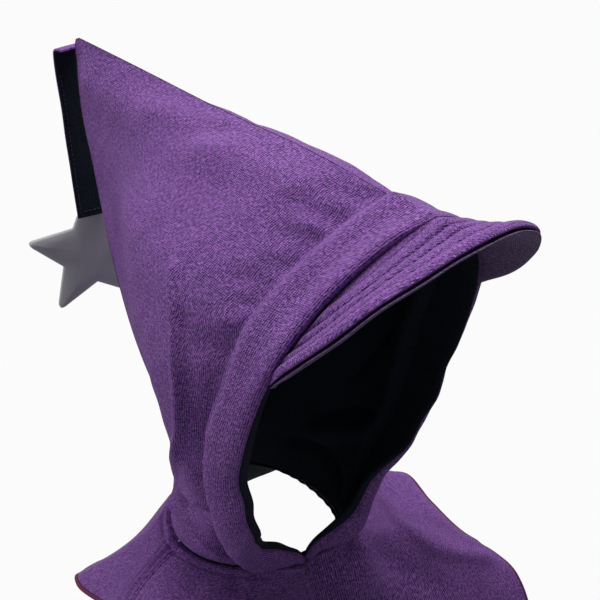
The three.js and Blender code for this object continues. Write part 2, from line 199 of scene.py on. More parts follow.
def melangeGroup():
    group, source, result = newGroup(
        "melangeWeave",
        [("Place", "NodeSocketVector", None),
         ("Body", "NodeSocketColor", (0.16, 0.06, 0.28, 1)),
         ("Dark", "NodeSocketColor", (0.05, 0.02, 0.1, 1)),
         ("Light", "NodeSocketColor", (0.3, 0.13, 0.45, 1))],
        [("Color", "NodeSocketColor"), ("Height", "NodeSocketFloat"), ("Roughness", "NodeSocketFloat")])
    place = source.outputs["Place"]
    separate = group.nodes.new("ShaderNodeSeparateXYZ")
    group.links.new(place, separate.inputs[0])

    def thread(axis, pitch, wobbleSizes):
        noise = addNoise(group, addStretch(group, place, wobbleSizes), melange["noiseDetail"])
        wobble = addMath(group, "MULTIPLY", noise, melange["wobble"] * 2 * math.pi)
        phase = addMath(group, "MULTIPLY", separate.outputs[axis], 2 * math.pi / pitch)
        return addRange(group, addMath(group, "SINE", addMath(group, "ADD", phase, wobble)), -1, 1)

    def dashes(sizes, low, high, shift=(0, 0, 0)):
        stretched = addStretch(group, place, sizes, shift)
        noise = addNoise(group, stretched, melange["noiseDetail"], melange["noiseRoughness"])
        return addRange(group, noise, low, high)

    warp = thread(0, melange["warpPitch"], melange["warpWobble"])
    weft = thread(1, melange["weftPitch"], melange["weftWobble"])
    warpDash = dashes(melange["warpDash"], melange["dashFrom"], melange["dashTo"])
    weftDash = dashes(melange["weftDash"], melange["dashFrom"], melange["dashTo"], melange["weftShift"])
    lightDash = dashes(melange["lightDash"], melange["lightFrom"], melange["lightTo"], melange["lightShift"])
    blotch = dashes(melange["blotch"], melange["blotchFrom"], melange["blotchTo"], melange["blotchShift"])
    warpFurrow = addMath(group, "MULTIPLY", addMath(group, "SUBTRACT", 1.0, warp), warpDash)
    weftFurrow = addMath(group, "MULTIPLY", addMath(group, "SUBTRACT", 1.0, weft), weftDash)
    dark = addMath(group, "ADD", addMath(group, "MULTIPLY", warpFurrow, melange["warpShare"]),
                   addMath(group, "MULTIPLY", weftFurrow, melange["weftShare"]), clamp=True)
    light = addMath(group, "MULTIPLY", addMath(group, "MULTIPLY", lightDash, warp), melange["lightShare"])
    blotchShare = addMath(group, "MULTIPLY", blotch, melange["blotchShare"])
    colour = addMix(group, blotchShare, source.outputs["Body"], source.outputs["Light"])
    colour = addMix(group, light, colour, source.outputs["Light"])
    colour = addMix(group, dark, colour, source.outputs["Dark"])
    group.links.new(colour, result.inputs["Color"])
    height = addMath(group, "ADD", addMath(group, "SUBTRACT", light, dark),
                     addMath(group, "MULTIPLY", weft, melange["weftHeight"]))
    group.links.new(height, result.inputs["Height"])
    roughness = addMath(group, "ADD", addMath(group, "MULTIPLY", dark, melange["furrowRoughness"]),
                        melange["roughness"])
    group.links.new(roughness, result.inputs["Roughness"])
    return group


# The pile of the fleece: small soft clumps. Thread and smooth cloth use it with smaller clumps.
fleece = {"detail": 4, "roughness": 0.65, "pileFrom": 0.35, "pileTo": 0.7}


def fleeceGroup():
    group, source, result = newGroup(
        "fleecePile",
        [("Place", "NodeSocketVector", None),
         ("Body", "NodeSocketColor", (0.006, 0.007, 0.014, 1)),
         ("Tip", "NodeSocketColor", (0.014, 0.017, 0.03, 1)),
         ("Clump", "NodeSocketFloat", 1.4)],
        [("Color", "NodeSocketColor"), ("Height", "NodeSocketFloat")])
    clumps = group.nodes.new("ShaderNodeVectorMath")
    clumps.operation = "SCALE"
    group.links.new(source.outputs["Place"], clumps.inputs[0])
    group.links.new(addMath(group, "DIVIDE", 1.0, source.outputs["Clump"]), clumps.inputs["Scale"])
    noise = addNoise(group, clumps.outputs[0], fleece["detail"], fleece["roughness"])
    pile = addRange(group, noise, fleece["pileFrom"], fleece["pileTo"])
    colour = addMix(group, pile, source.outputs["Body"], source.outputs["Tip"])
    group.links.new(colour, result.inputs["Color"])
    group.links.new(pile, result.inputs["Height"])
    return group


weave, pile = melangeGroup(), fleeceGroup()


def clothMaterial(name, group, values, shading):
    material = bpy.data.materials.new(name)
    material.use_nodes = True
    tree = material.node_tree
    shader = tree.nodes["Principled BSDF"]
    place = tree.nodes.new("ShaderNodeUVMap")
    place.uv_map = "cloth"
    look = tree.nodes.new("ShaderNodeGroup")
    look.node_tree = group
    tree.links.new(addStretch(tree, place.outputs[0], (mapScale, mapScale, 1)), look.inputs["Place"])
    for label, value in values.items():
        look.inputs[label].default_value = (*value, 1) if isinstance(value, tuple) else value
    tree.links.new(look.outputs["Color"], shader.inputs["Base Color"])
    if "Roughness" in look.outputs:
        tree.links.new(look.outputs["Roughness"], shader.inputs["Roughness"])
    bump = tree.nodes.new("ShaderNodeBump")
    bump.inputs["Strength"].default_value = shading["bump"]
    bump.inputs["Distance"].default_value = shading["depth"]
    tree.links.new(look.outputs["Height"], bump.inputs["Height"])
    tree.links.new(bump.outputs[0], shader.inputs["Normal"])
    for label, value in shading["sockets"].items():
        shader.inputs[label].default_value = value
    return material


purpleCloth = clothMaterial(
    "purpleCloth", weave,
    {"Body": (0.2, 0.078, 0.3), "Dark": (0.03, 0.017, 0.068), "Light": (0.46, 0.21, 0.62)},
    {"bump": 0.5, "depth": 0.0005,
     "sockets": {"Sheen Weight": 0.14, "Sheen Roughness": 0.35, "Sheen Tint": (0.6, 0.36, 0.78, 1),
                 "Specular IOR Level": 0.08}})
# the peak's lower layer: the purple cloth darker and greyer, painted shade for the shade under the peak
paintedShadeCloth = clothMaterial(
    "paintedShadeCloth", weave,
    {"Body": (0.14, 0.085, 0.185), "Dark": (0.035, 0.025, 0.06), "Light": (0.3, 0.21, 0.37)},
    {"bump": 0.5, "depth": 0.0005, "sockets": {"Specular IOR Level": 0.08}})
navyFleece = clothMaterial(
    "navyFleece", pile, {"Body": (0.0075, 0.0095, 0.0145), "Tip": (0.017, 0.022, 0.031)},
    {"bump": 0.5, "depth": 0.0006,
     "sockets": {"Roughness": 0.95, "Sheen Weight": 0.02, "Specular IOR Level": 0.05}})
# the star's grey is its own colour made lighter, with painted reflection for the glow of its reflective face
starCloth = clothMaterial(
    "starCloth", pile, {"Body": (0.31, 0.312, 0.316), "Tip": (0.37, 0.372, 0.376), "Clump": 1.0},
    {"bump": 0.15, "depth": 0.0003, "sockets": {"Roughness": 0.5, "Specular IOR Level": 0.45}})
maroonEdging = clothMaterial(
    "maroonEdging", pile, {"Body": (0.1, 0.018, 0.045), "Tip": (0.17, 0.035, 0.08), "Clump": 0.8},
    {"bump": 0.6, "depth": 0.0005, "sockets": {"Roughness": 0.8, "Specular IOR Level": 0.2}})
threadShading = {"bump": 0.4, "depth": 0.0002, "sockets": {"Roughness": 0.6, "Specular IOR Level": 0.4}}
purpleThread, redThread, navyThread = (
    clothMaterial(name, pile, {"Body": body, "Tip": tip, "Clump": 0.4}, threadShading)
    for name, body, tip in (("purpleThread", (0.12, 0.045, 0.22), (0.24, 0.1, 0.38)),
                            ("redThread", (0.16, 0.015, 0.03), (0.3, 0.04, 0.06)),
                            ("navyThread", (0.01, 0.011, 0.025), (0.03, 0.032, 0.06))))
print("materials made")

# Curves and shaped walls


def smooth(value, low, high):
    share = np.clip((value - low) / (high - low), 0, 1)
    return share * share * (3 - 2 * share)


# 1 at no distance, dying away over the width
def near(distance, width):
    return np.exp(-(distance / width) ** 2)


def unit(vectors):
    return vectors / np.maximum(np.linalg.norm(vectors, axis=-1, keepdims=True), 1e-9)


# A centripetal curve through the points, at each t from 0 to 1. Every point may itself be a row of points.
def curveAt(points, t, closed=False):
    points, t = np.asarray(points, float), np.atleast_1d(np.asarray(t, float))
    count = len(points)
    spans = count if closed else count - 1
    place = (t % 1 if closed else np.clip(t, 0, 1)) * spans
    whole = np.minimum(place.astype(int), spans - 1)
    extended = np.concatenate([[2 * points[0] - points[1]], points, [2 * points[-1] - points[-2]]])

    def pick(k):
        return points[k % count] if closed else extended[k + 1]

    def spread(a, b):
        return np.sum((b - a) ** 2, axis=-1, keepdims=True) ** 0.25

    before, start, end, after = pick(whole - 1), pick(whole), pick(whole + 1), pick(whole + 2)
    middle = spread(start, end)
    middle = np.where(middle < 1e-4, 1.0, middle)
    first, last = spread(before, start), spread(end, after)
    first, last = np.where(first < 1e-4, middle, first), np.where(last < 1e-4, middle, last)
    leaving = ((start - before) / first - (end - before) / (first + middle)
               + (end - start) / middle) * middle
    arriving = ((end - start) / middle - (after - start) / (middle + last)
                + (after - end) / last) * middle
    s = (place - whole).reshape((-1,) + (1,) * (points.ndim - 1))
    return (start + leaving * s + (-3 * start + 3 * end - 2 * leaving - arriving) * s ** 2
            + (2 * start - 2 * end + leaving + arriving) * s ** 3)


def lengthAlong(points):
    steps = np.linalg.norm(np.diff(points, axis=0), axis=-1)
    return np.concatenate([np.zeros((1,) + steps.shape[1:]), np.cumsum(steps, axis=0)])


def evenPlaces(points, share, samples=201):
    t = np.linspace(0, 1, samples)
    length = lengthAlong(curveAt(points, t))
    return np.interp(share, length / length[-1], t)


# A soft unevenness between about -1 and 1, the same on each run, from waves about as long as the size
def unevenness(points, size, seed, waves=7, shortest=0.7, longest=1.6):
    draw = np.random.RandomState(seed)
    total = 0
    for _ in range(waves):
        wave = unit(draw.normal(size=3)) * 2 * math.pi / (size * draw.uniform(shortest, longest))
        total = total + np.sin(points @ wave + draw.uniform(0, 2 * math.pi))
    return total / (waves / 2)


def distanceToLine(points, line):
    best = np.full(points.shape[:-1], np.inf)
    for a, b in zip(line[:-1], line[1:]):
        along = b - a
        share = np.clip((points - a) @ along / max(along @ along, 1e-9), 0, 1)
        best = np.minimum(best, np.linalg.norm(points - (a + share[..., None] * along), axis=-1))
    return best


# The height of all folds on a grid. Each follows a line of (u, v) points and dies away over its width.
def foldRelief(grid, folds):
    across, down = grid.shape[0] - 1, grid.shape[1] - 1
    relief = np.zeros(grid.shape[:-1])
    for width, height, points in folds:
        line = np.array([grid[round(u * across), round(v * down)] for u, v in points])
        line = curveAt(line, np.linspace(0, 1, 4 * len(line))) if len(line) > 2 else line
        relief += height * near(distanceToLine(grid, line), width)
    return relief


def gridNormals(grid):
    along, down = np.gradient(grid, axis=0), np.gradient(grid, axis=1)
    return unit(np.cross(along, down))


# Turns the faces of a closed mesh outwards. A mesh that is inside out has a volume below zero.
def faceOutwards(mesh):
    mesh.calc_loop_triangles()
    places = np.empty(len(mesh.vertices) * 3)
    mesh.vertices.foreach_get("co", places)
    corners = np.empty(len(mesh.loop_triangles) * 3, np.int32)
    mesh.loop_triangles.foreach_get("vertices", corners)
    a, b, c = places.reshape(-1, 3)[corners.reshape(-1, 3)].transpose(1, 0, 2)
    if np.einsum("ij,ij->i", a, np.cross(b, c)).sum() < 0:
        mesh.flip_normals()


# Vertices and places on the cloth map are in millimetres. Slots pick each face's material.
def makeMesh(name, vertices, faces, slots, materials, mapPlaces):
    mesh = bpy.data.meshes.new(name)
    mesh.from_pydata((vertices * metre).tolist(), [], [tuple(f) for f in faces])
    for material in materials:
        mesh.materials.append(material)
    mesh.polygons.foreach_set("material_index", np.asarray(slots, np.int32))
    mesh.polygons.foreach_set("use_smooth", np.ones(len(faces), bool))
    corners = np.empty(len(mesh.loops), np.int32)
    mesh.loops.foreach_get("vertex_index", corners)
    layer = mesh.uv_layers.new(name="cloth")
    layer.data.foreach_set("uv", (np.asarray(mapPlaces)[corners] * mapScale).ravel().astype(np.float32))
    mesh.validate()
    mesh.update()
    faceOutwards(mesh)
    piece = bpy.data.objects.new(name, mesh)
    bpy.context.collection.objects.link(piece)
    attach(piece, "root")
    return piece


rimAngles = (35, 65, 90, 115, 145)  # places of the rows that round a wall's edge, from outer to inner face
rimStep = 0.4  # from one of those rows to the next on the cloth map


# A wall of cloth from the grid of its outer face. bulge says how far each edge rounds out past the grid, in
# the order start, end, top, bottom. outward is 1 or -1, the side of the grid's normal that is the outside.
# The first linedRows of the outer face have the lining's material.
def clothWall(name, grid, outward, thickness, materials, bulge, relief, dip=0, keep=None, places=None,
              linedRows=0):
    relief, dip, thickness = (
        np.broadcast_to(amount, grid.shape[:2])[..., None] for amount in (relief, dip, thickness))
    base = grid + gridNormals(grid) * outward * relief
    normals = gridNormals(base) * outward
    outer, inner = base + normals * dip, base - normals * thickness
    if keep:
        outer, inner = keep(outer), keep(inner)
    m, n = grid.shape[:2]
    edge = ([(i, 0) for i in range(m)] + [(m - 1, j) for j in range(1, n)]
            + [(i, n - 1) for i in range(m - 2, -1, -1)] + [(0, j) for j in range(n - 2, 0, -1)])
    rows, columns = np.array(edge).T
    outwards = np.zeros((len(edge), 3))
    for mask, nearRow, nearColumn, amount in (
            (rows == 0, 1, None, bulge[0]), (rows == m - 1, m - 2, None, bulge[1]),
            (columns == 0, None, 1, bulge[2]), (columns == n - 1, None, n - 2, bulge[3])):
        i, j = rows[mask], columns[mask]
        inside = base[i if nearRow is None else nearRow, j if nearColumn is None else nearColumn]
        outwards[mask] += unit(base[i, j] - inside) * amount
    middle = (outer[rows, columns] + inner[rows, columns]) / 2
    half = (outer[rows, columns] - inner[rows, columns]) / 2
    turns = [math.radians(a) for a in rimAngles]
    rims = [middle + half * math.cos(a) + outwards * math.sin(a) for a in turns]
    if places is None:
        places = np.stack([lengthAlong(base), lengthAlong(base.transpose(1, 0, 2)).T], axis=-1)
    edgePlaces = places[rows, columns]
    vertices = np.concatenate([outer.reshape(-1, 3), inner.reshape(-1, 3), *rims])
    mapPlaces = np.concatenate(
        [places.reshape(-1, 2)] * 2 + [edgePlaces + (k + 1) * rimStep for k in range(len(rims))])
    index = np.arange(m * n).reshape(m, n)
    quads = np.stack([index[:-1, :-1], index[1:, :-1], index[1:, 1:], index[:-1, 1:]], axis=-1)
    quads = quads.reshape(-1, 4)
    front = quads if outward > 0 else quads[:, ::-1]
    back = (quads[:, ::-1] if outward > 0 else quads) + m * n
    count = len(edge)
    rings = [index[rows, columns], *(2 * m * n + np.arange(count) + k * count for k in range(len(rims))),
             index[rows, columns] + m * n]
    strips = []
    for a, b in zip(rings[:-1], rings[1:]):
        strip = np.stack([a, np.roll(a, -1), np.roll(b, -1), b], axis=-1)
        strips.append(strip[:, ::-1] if outward > 0 else strip)
    faces = np.concatenate([front, back, *strips])
    frontSlots = np.zeros((m - 1, n - 1))
    frontSlots[:, :linedRows] = 1
    outerHalf = len(strips) // 2  # the other strips have the lining's material
    rimSlots = ([np.where((columns == 0) & (linedRows > 0), 1, 0)] * outerHalf
                + [np.ones(count)] * (len(strips) - outerHalf))
    slots = np.concatenate([frontSlots.ravel(), np.ones(len(back)), *rimSlots])
    piece = makeMesh(name, vertices, faces, slots, materials, mapPlaces)
    return piece, outer, inner


# A tube of cloth from its sections, with a fan of faces on each end.
def clothTube(name, sections, slotOf, materials):
    count, around = sections.shape[:2]
    roundIt = np.repeat(lengthAlong(sections.transpose(1, 0, 2))[None].mean(axis=2), count, axis=0)
    alongIt = np.repeat(lengthAlong(sections.mean(axis=1))[:, None], around, axis=1)
    places = np.stack([roundIt, alongIt], axis=-1)
    index = np.arange(count * around).reshape(count, around)
    nextOne = np.roll(index, -1, axis=1)
    quads = np.stack([index[:-1], nextOne[:-1], nextOne[1:], index[1:]], axis=-1)
    slots = np.repeat(np.asarray(slotOf)[None], count - 1, axis=0).ravel()
    faces = [tuple(f) for f in quads.reshape(-1, 4)]
    vertices = np.concatenate([sections.reshape(-1, 3), sections[[0, -1]].mean(axis=1)])
    mapPlaces = np.concatenate([places.reshape(-1, 2), places[[0, -1]].mean(axis=1)])
    for row, tip, flip in ((0, count * around, True), (count - 1, count * around + 1, False)):
        for k in range(around):
            a, b = index[row, k], nextOne[row, k]
            faces.append((tip, b, a) if flip else (tip, a, b))
    slots = np.concatenate([slots, np.zeros(2 * around)])
    return makeMesh(name, vertices, faces, slots, materials, mapPlaces)


stitch = {"pitch": 3.0, "length": 2.1, "radius": 0.32, "sink": 0.1, "arch": 0.25, "sides": 6,
          "rings": [(-1, 0.25), (-0.8, 0.85), (0, 1), (0.8, 0.85), (1, 0.25)]}  # place along it, and radius


# Rows of stitches as short threads that lie on the cloth. Each row is a line and its normals.
def stitchRows(name, rows, material, **changes):
    look = {**stitch, **changes}
    pitch, length, radius, sides = look["pitch"], look["length"], look["radius"], look["sides"]
    turns = np.arange(sides) * 2 * math.pi / sides
    vertices, faces = [], []
    for line, normals in rows:
        travelled = lengthAlong(line)
        places = np.arange(pitch, travelled[-1] - pitch / 2, pitch)
        for place in places:
            ends = [np.array([np.interp(place + d, travelled, line[:, k]) for k in range(3)])
                    for d in (-length / 2, length / 2)]
            up = unit(np.array([np.interp(place, travelled, normals[:, k]) for k in range(3)]))
            forward = unit(ends[1] - ends[0])
            side = unit(np.cross(forward, up))
            up = np.cross(side, forward)
            centre = (ends[0] + ends[1]) / 2 + up * (radius - look["sink"])
            start = len(vertices)
            for p, r in look["rings"]:
                arch = up * (-look["arch"] * p * p * radius)
                for a in turns:
                    vertices.append(centre + arch + forward * p * length / 2
                                    + (side * math.cos(a) + up * math.sin(a)) * radius * r)
            lastRing = len(look["rings"]) - 1
            for ring in range(lastRing):
                for k in range(sides):
                    a, b = start + ring * sides + k, start + ring * sides + (k + 1) % sides
                    faces.append((a, b, b + sides, a + sides))
            faces.append(tuple(start + k for k in reversed(range(sides))))
            faces.append(tuple(start + lastRing * sides + k for k in range(sides)))
    vertices = np.array(vertices)
    return makeMesh(name, vertices, faces, np.zeros(len(faces)), [material], vertices[:, [0, 2]])


# A sheet's cut as it lies flat: its greatest width and length along the cloth, and its area
def declareSheet(piece, grid, withPieces=()):
    width, length = lengthAlong(grid)[-1].max(), lengthAlong(grid.transpose(1, 0, 2))[-1].max()
    diagonals = grid[1:, 1:] - grid[:-1, :-1], grid[1:, :-1] - grid[:-1, 1:]
    area = np.linalg.norm(np.cross(*diagonals), axis=-1).sum() / 2
    flat = (round(width * metre, 3), round(length * metre, 3))
    area = min(area * metre ** 2, flat[0] * flat[1])
    print(piece.name, "cut", flat, "area", round(area, 4))
    list(withPieces)


# The line on a grid where a distance, which grows or falls along each of the picked columns, has one value
def lineAt(grid, distance, value, columns):
    picks = []
    for k in columns:
        order = np.argsort(distance[k])
        place = np.interp(value, distance[k][order], order)
        low = min(int(place), grid.shape[1] - 2)
        picks.append(grid[k, low] + (grid[k, low + 1] - grid[k, low]) * (place - low))
    return np.array(picks)


# How the cloth sits at the neck: a round seam with a small drop at the front and a rise at the back.
# The throat pull draws the cloth forward on the side of +X.
neck = {"radius": 50, "centreY": 22, "z": -258.5, "notchDrop": 6.5, "notchAngle": 28, "backRise": 8.5,
        "backFrom": 95, "gap": 0.1}
throatPull = {"forward": 14, "fromZ": -205, "toZ": -255, "fromX": 3, "toX": 32, "fromY": -20, "toY": 30,
              "near": 62, "far": 95}


def neckHeight(angle):
    fromFront = np.abs((angle + 180) % 360 - 180)
    drop = neck["notchDrop"] * (1 - smooth(fromFront, 0, neck["notchAngle"]))
    return neck["z"] - drop + neck["backRise"] * smooth(fromFront, neck["backFrom"], 180)


def neckPoint(angle):
    turn = np.radians(angle)
    return np.stack([neck["radius"] * np.sin(turn), neck["centreY"] - neck["radius"] * np.cos(turn),
                     neckHeight(angle)], axis=-1)


def neckAngle(points):
    return np.degrees(np.arctan2(points[..., 0], neck["centreY"] - points[..., 1]))


def aboveNeck(points):
    points = points.copy()
    points[..., 2] = np.maximum(points[..., 2], neckHeight(neckAngle(points)))
    return points


def belowNeck(points):
    points = points.copy()
    points[..., 2] = np.minimum(points[..., 2], neckHeight(neckAngle(points)) - neck["gap"])
    return points


def settle(points):
    points = points.copy()
    x, y, z = points[..., 0], points[..., 1], points[..., 2]
    low = smooth(-z, -throatPull["fromZ"], -throatPull["toZ"])
    sideways = smooth(x, throatPull["fromX"], throatPull["toX"])
    inFront = 1 - smooth(y, throatPull["fromY"], throatPull["toY"])
    close = 1 - smooth(np.hypot(x, y - neck["centreY"]), throatPull["near"], throatPull["far"])
    points[..., 1] = y - throatPull["forward"] * low * sideways * inFront * close
    return points


# The face opening, from its top down to the centre front: a row for each place along the band, with the
# band's rear edge and its front edge
bandPlaces = [
    ((0, -86, 1), (0, -116, -2)), ((25, -76.5, -14), (22, -108, -13)), ((50, -69, -32), (48, -99, -32)),
    ((71, -61, -57), (69, -91, -56)), ((80, -54, -88), (78, -83, -81)), ((82, -43, -120), (81, -72, -116)),
    ((80, -38, -150), (78, -63, -147)), ((73, -33, -181), (70, -59, -174)),
    ((62, -26, -211), (59, -51, -200)), ((48, -19, -238), (44, -37, -222)),
    ((33, -15, -258), (29, -30, -238)), ((14, -25, -261), (12, -30, -249)), ((0, -28, -265), (0, -29, -260))]
bandRear, bandFront = np.array(bandPlaces, float).transpose(1, 0, 2)
bandSpans = len(bandRear) - 1
hoodRows = 11  # band places whose rear edge is sewn to the hood
levelTo = 0.07  # share of the band over which its outward direction turns sideways from the middle


# The band's edges, the way across it and its outward direction at each t from 0 to 1
def bandFrame(t, step=0.004):
    t = np.asarray(t, float)
    rear, front = curveAt(bandRear, t), curveAt(bandFront, t)
    low, high = np.maximum(t - step, 0), np.minimum(t + step, 1)
    along = (curveAt(bandRear, high) - curveAt(bandRear, low)
             + curveAt(bandFront, high) - curveAt(bandFront, low))
    along[t < step, 1:] = 0
    across = front - rear
    outwards = unit(np.cross(across, along))
    outwards[:, 0] *= smooth(t, 0, levelTo)
    return rear, front, across, unit(outwards)


# Hood panels

hood = {
    "steps": (180, 220), "edgeSteps": 49, "thickness": 2.0, "thinnest": 0.2, "centreGap": 0.06,
    "leastSlope": 0.05,  # the flattest part of the cloth still counts as sloping by this much to the side
    "ribs": [  # angle round the neck where a rib ends, and its points from the ridge down
        (68, (0, -35, 6.5), (40, -26, -18), (74, -16, -54), (84, -6, -106), (77, -8, -158), (60, 0, -212)),
        (106, (0, 38, 9), (30, 42, -14), (58, 44, -50), (66, 38, -104), (57, 22, -162), (50, 28, -213)),
        (142, (0, 108, 13.5), (14, 110, -12), (25, 106, -52), (31, 93, -108), (30, 75, -163),
         (29, 53, -212)),
        (180, (0, 175, 17.4), (0, 176, -24), (0, 167, -66), (0, 154, -125), (0, 134, -180),
         (0, 108, -218)),
    ],
    "roundFrom": 0.9,  # share of the way down from which the panel takes the neck's round
    "seamDip": 1.1, "ridgeDip": 0.35, "seamWidth": 1.3,
    "pucker": 0.2, "puckerPitch": 8.0, "puckerReach": 5, "neckPitch": 7, "neckReach": 4,
    "puckerDrift": (40, 5),  # size, seed
    "unevenness": [(0.7, 55, 3), (0.22, 21, 6)],  # height, size, seed
    # distances from an edge over which each effect sets in
    "seamFrom": (2, 20), "foldsFrom": (0.5, 6), "foldsFromRidge": (0, 5), "puckerFrom": (3, 20),
    "neckPuckerFrom": (0, 2), "valleyAbove": (0, 12), "lowAbove": (2, 16),
    "shoulderFrom": ((4, 40), (0, 8), (0, 20)),  # from the band, the ridge and the back
    "valley": 4.4, "valleyWidth": 11.0, "valleyFrom": (5, 30),
    "lowValley": 3.6, "lowWidth": 8.0, "lowFrom": (120, 190), "valleyStart": 3.5,
    "shoulder": {-1: 4.0, 1: 1.0}, "shoulderAt": 22, "shoulderWidth": 13,
    "tipRoom": 0.3, "tipReach": 3.0,  # space for both faces of the cloth where it narrows to the tail's tip
    "tipCut": 2.4, "tipRound": 3.4,  # how far the tip's corner is drawn in, and over what distance
    "edges": (0.1, 0.02, 0.02, 0.1),
}
# Folds of a panel: width, height, and the line's points. Their u runs from the band to the back seam,
# their v from the ridge to the neck.
hoodFolds = [
    (6, 1.1, [(0.66, 0.06), (0.55, 0.04), (0.45, 0.015)]),
    (7, -1.4, [(0.62, 0.09), (0.53, 0.085), (0.46, 0.05)]),
    (10, 1.0, [(0.44, 0.1), (0.37, 0.06)]),
    (7, -1.9, [(0.0, 0.02), (0.06, 0.032), (0.12, 0.05)]),
    (5, 1.2, [(0.0, 0.048), (0.06, 0.055), (0.12, 0.068)]),
    (7, -2.1, [(0.0, 0.073), (0.06, 0.078), (0.15, 0.09)]),
    (4, 1.5, [(0.0, 0.1), (0.09, 0.115)]),
    (7, -2.1, [(0.0, 0.122), (0.07, 0.136), (0.11, 0.146)]),
    (6.5, -2.3, [(0.0, 0.175), (0.07, 0.2)]),
    (6, -2.5, [(0.02, 0.231), (0.06, 0.235), (0.114, 0.24)]),
    (5, -1.8, [(0.02, 0.262), (0.07, 0.275)]),
    (6, 1.9, [(0.01, 0.3), (0.07, 0.315)]),
    (7, -2.6, [(0.03, 0.352), (0.067, 0.36), (0.11, 0.375)]),
    (8, -3.2, [(0.04, 0.44), (0.03, 0.5), (0.04, 0.58), (0.07, 0.66)]),
    (3.4, 3.4, [(0.3, 0.29), (0.262, 0.337), (0.201, 0.397), (0.154, 0.462), (0.148, 0.548), (0.2, 0.62),
                (0.26, 0.67), (0.31, 0.72)]),
    (6, -2.2, [(0.2, 0.36), (0.13, 0.43), (0.095, 0.5), (0.1, 0.58), (0.14, 0.65)]),
    (9, -1.2, [(0.36, 0.36), (0.29, 0.43), (0.24, 0.5), (0.23, 0.58)]),
    (3.4, 2.4, [(0.4, 0.82), (0.3, 0.8), (0.195, 0.778), (0.067, 0.758)]),
    (5, -4.0, [(0.4, 0.865), (0.3, 0.85), (0.2, 0.83), (0.107, 0.81), (0.05, 0.79)]),
    (11, 2.6, [(0.52, 0.78), (0.53, 0.84), (0.54, 0.9)]),
    (5, 3.2, [(0.52, 0.91), (0.362, 0.9), (0.268, 0.92), (0.15, 0.95)]),
    (9, -2.2, [(0.75, 0.5), (0.6, 0.62), (0.45, 0.72)]),
    (7, 2.0, [(0.8, 0.62), (0.66, 0.72), (0.5, 0.8)]),
    (6, -1.6, [(0.98, 0.72), (0.85, 0.76), (0.76, 0.8)]),
    (12, -1.6, [(0.95, 0.3), (0.8, 0.36), (0.65, 0.46)]),
]


def hoodGrid():
    m, n = hood["steps"]
    u, v = np.linspace(0, 1, m), np.linspace(0, 1, n)
    frontEdge = curveAt(bandRear, np.linspace(0, (hoodRows - 1) / bandSpans, hood["edgeSteps"]))
    ribs = [frontEdge] + [np.array([*points, neckPoint(angle)], float) for angle, *points in hood["ribs"]]
    controls = np.stack([curveAt(rib, evenPlaces(rib, v)) for rib in ribs])
    grid = curveAt(controls, u)
    fromCentre = grid[..., :2] - [0, neck["centreY"]]
    radius = np.linalg.norm(fromCentre[:, -1], axis=-1)
    stretch = 1 + (neck["radius"] / radius - 1)[:, None] * smooth(v, hood["roundFrom"], 1)
    grid[..., :2] = [0, neck["centreY"]] + fromCentre * stretch[..., None]
    fromTip = np.linalg.norm(grid - grid[-1, 0], axis=-1)
    grid[..., 1:] -= (hood["tipCut"] * math.sqrt(0.5) * near(fromTip, hood["tipRound"]))[..., None]
    return grid


